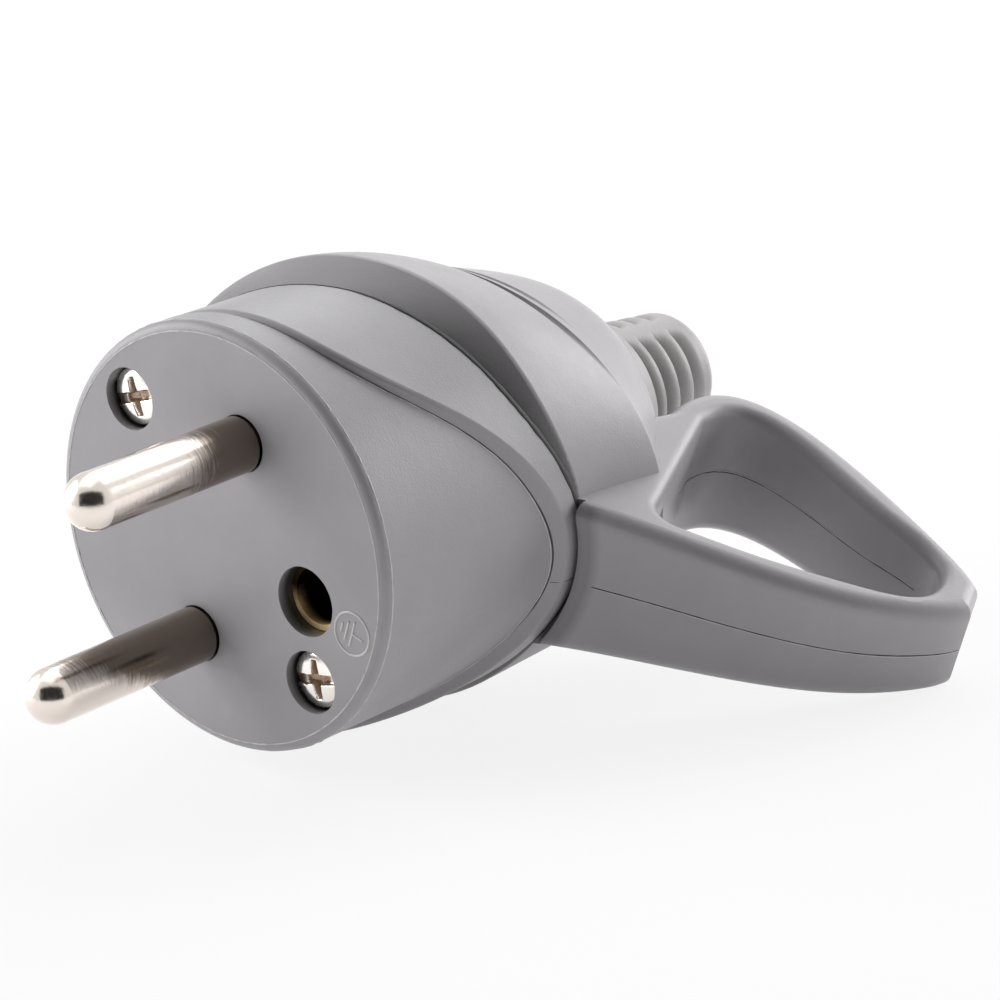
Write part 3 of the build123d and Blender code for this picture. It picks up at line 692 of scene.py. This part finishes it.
def screw_piece(key):
    """Screw with a low domed head, its recess and its plain shank."""
    at_x, at_z, turn = SCREW_SITES[key]
    around, rings = 160, 44
    rows = []
    for i in range(rings + 1):
        share = i / rings
        rows.append((max(HEAD_R * share, CORE_R), HEAD_TOP + (HEAD_RIM - HEAD_TOP) * share ** 4, True))
    rows += [(HEAD_R, HEAD_RIM + RIM_HEIGHT, False), (HEAD_R, SEAT_Y, False), (SHANK_R, SEAT_Y, False),
             (SHANK_R, SHANK_END, False), (CORE_R, SHANK_END + 0.1, False)]
    verts, faces = [], []
    for r, y, top in rows:
        for k in range(around):
            angle = 2 * math.pi * k / around
            x, z = r * math.cos(angle), r * math.sin(angle)
            verts.append((at_x + x, y + (head_recess(x, z, turn) if top else 0), at_z + z))
    for i in range(len(rows) - 1):
        a, b = i * around, (i + 1) * around
        for k in range(around):
            n = (k + 1) % around
            faces.append((a + k, b + k, b + n, a + n))
    faces.append(tuple(range(around)))
    last = (len(rows) - 1) * around
    faces.append(tuple(range(last, last + around)))
    screw = piece("screw_%s" % key, verts, faces, recess_steel)
    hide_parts("assembly_screw_%s" % key)


for key in SCREW_SITES:
    screw_piece(key)


# Stage and light

FLOOR_GLOW = 0.42                  # light that the white table sends onto the object
FLOOR_WHITE = 0.85                 # share of plain white in what the camera sees of the table
FLOOR_HALF = 4.0                   # half the side of the table
TENT = 0.22                        # level of the light from all round
WHITE = (1, 1, 1, 1)
LOOK_AT = (0.01, 0.02, 0.0)        # the point that all the panels shine on
PANELS = (                         # name, size, power and place of each panel
    ("back_panel", (0.6, 0.5), 2.15, (-0.12, 0.45, 0.38)),
    ("right_back_panel", (0.4, 0.3), 2.5, (0.22, 0.56, 0.16)),
    ("top_panel", (0.4, 0.4), 0.35, (-0.10, 0.0, 0.45)),
    ("left_panel", (0.4, 0.4), 2.35, (-0.40, -0.20, 0.18)),
)
CARD_OUT = (0.640, -0.702, 0.313)  # from the object towards the card
CARD_AWAY = 0.95
CARD_HALF = (1.05, 0.72)           # half the width and height of the card
floor_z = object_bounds()[0].z


def floor_material():
    """White table that glows a little onto the object; the camera sees it nearly white, lightly shadowed."""
    m = Nodes("floor_white")
    m.set(Base_Color=(0.85, 0.85, 0.85), Roughness=0.9)
    ray = m.add("LightPath")
    glow = m.add("Emission", {"Color": WHITE, "Strength": FLOOR_GLOW})
    white = m.add("Emission", {"Color": WHITE, "Strength": 1.0})
    lit = m.add("AddShader")
    m.join(m.shader.outputs[0], lit.inputs[0])
    m.join(glow.outputs[0], lit.inputs[1])
    shown = m.add("MixShader", {"Fac": FLOOR_WHITE, 1: m.shader.outputs[0], 2: white.outputs[0]})
    seen = m.add("MixShader", {"Fac": ray.outputs["Is Camera Ray"], 1: lit.outputs[0], 2: shown.outputs[0]})
    m.join(seen.outputs[0], m.tree.nodes["Material Output"].inputs["Surface"])
    return m.material


def stage_sheet(name, corners, material):
    """A flat four-cornered piece of the stage."""
    mesh = bpy.data.meshes.new(name)
    mesh.from_pydata(corners, [], [(0, 1, 2, 3)])
    mesh.materials.append(material)
    sheet = linked(name, mesh)
    return sheet


def dark_card():
    """Black card behind the camera, dark in the metal's reflections; it also dims what faces the camera."""
    out = Vector(CARD_OUT)
    across = out.cross(Vector((0, 0, 1))).normalized() * CARD_HALF[0]
    up = across.normalized().cross(out) * CARD_HALF[1]
    centre = out * CARD_AWAY
    black = Nodes("card_black").set(Base_Color=(0.01, 0.01, 0.01), Roughness=1.0)
    corners = [centre - across - up, centre + across - up, centre + across + up, centre - across + up]
    stage_sheet("dark_card", corners, black).visible_camera = False


def area_light(name, size, power, at):
    """Rectangular lamp that shines on the object."""
    lamp = bpy.data.lights.new(name, "AREA")
    lamp.shape = "RECTANGLE"
    lamp.size, lamp.size_y = size
    lamp.energy = power
    made = linked(name, lamp)
    made.location = at
    made.rotation_euler = (Vector(LOOK_AT) - Vector(at)).to_track_quat("-Z", "Y").to_euler()


def world_light():
    """White all round for the camera and in reflections, and a faint light from all round for the rest."""
    world = bpy.data.worlds.new("tent")
    bpy.context.scene.world = world
    world.use_nodes = True
    tree = world.node_tree
    tree.nodes.clear()
    out = tree.nodes.new("ShaderNodeOutputWorld")
    shine = tree.nodes.new("ShaderNodeBackground")
    light = tree.nodes.new("ShaderNodeBackground")
    mix = tree.nodes.new("ShaderNodeMixShader")
    ray = tree.nodes.new("ShaderNodeLightPath")
    either = tree.nodes.new("ShaderNodeMath")
    either.operation = "MAXIMUM"
    shine.inputs["Strength"].default_value = 1.0
    light.inputs["Strength"].default_value = TENT
    for node in (shine, light):
        node.inputs["Color"].default_value = WHITE
    tree.links.new(ray.outputs["Is Camera Ray"], either.inputs[0])
    tree.links.new(ray.outputs["Is Glossy Ray"], either.inputs[1])
    tree.links.new(either.outputs[0], mix.inputs["Fac"])
    tree.links.new(light.outputs[0], mix.inputs[1])
    tree.links.new(shine.outputs[0], mix.inputs[2])
    tree.links.new(mix.outputs[0], out.inputs["Surface"])


floor_corners = [(x * FLOOR_HALF, y * FLOOR_HALF, floor_z) for x, y in ((-1, -1), (1, -1), (1, 1), (-1, 1))]
stage_sheet("floor", floor_corners, floor_material())
for panel in PANELS:
    area_light(*panel)
dark_card()
world_light()


# Camera

CAMERA_AT = (0.247093, -0.236981, 0.114058)
CAMERA_TURN = (71.74133, 3.95501, 41.01543)             # degrees about X, Y and Z
camera_data = bpy.data.cameras.new("camera")
camera_data.lens = 158.4
camera_data.sensor_width = 36.0
camera_data.clip_start = 0.01
camera_data.clip_end = 10.0
camera = linked("camera", camera_data)
camera.location = CAMERA_AT
camera.rotation_euler = Euler([math.radians(angle) for angle in CAMERA_TURN])
bpy.context.scene.camera = camera
bpy.context.scene.view_settings.view_transform = "Standard"
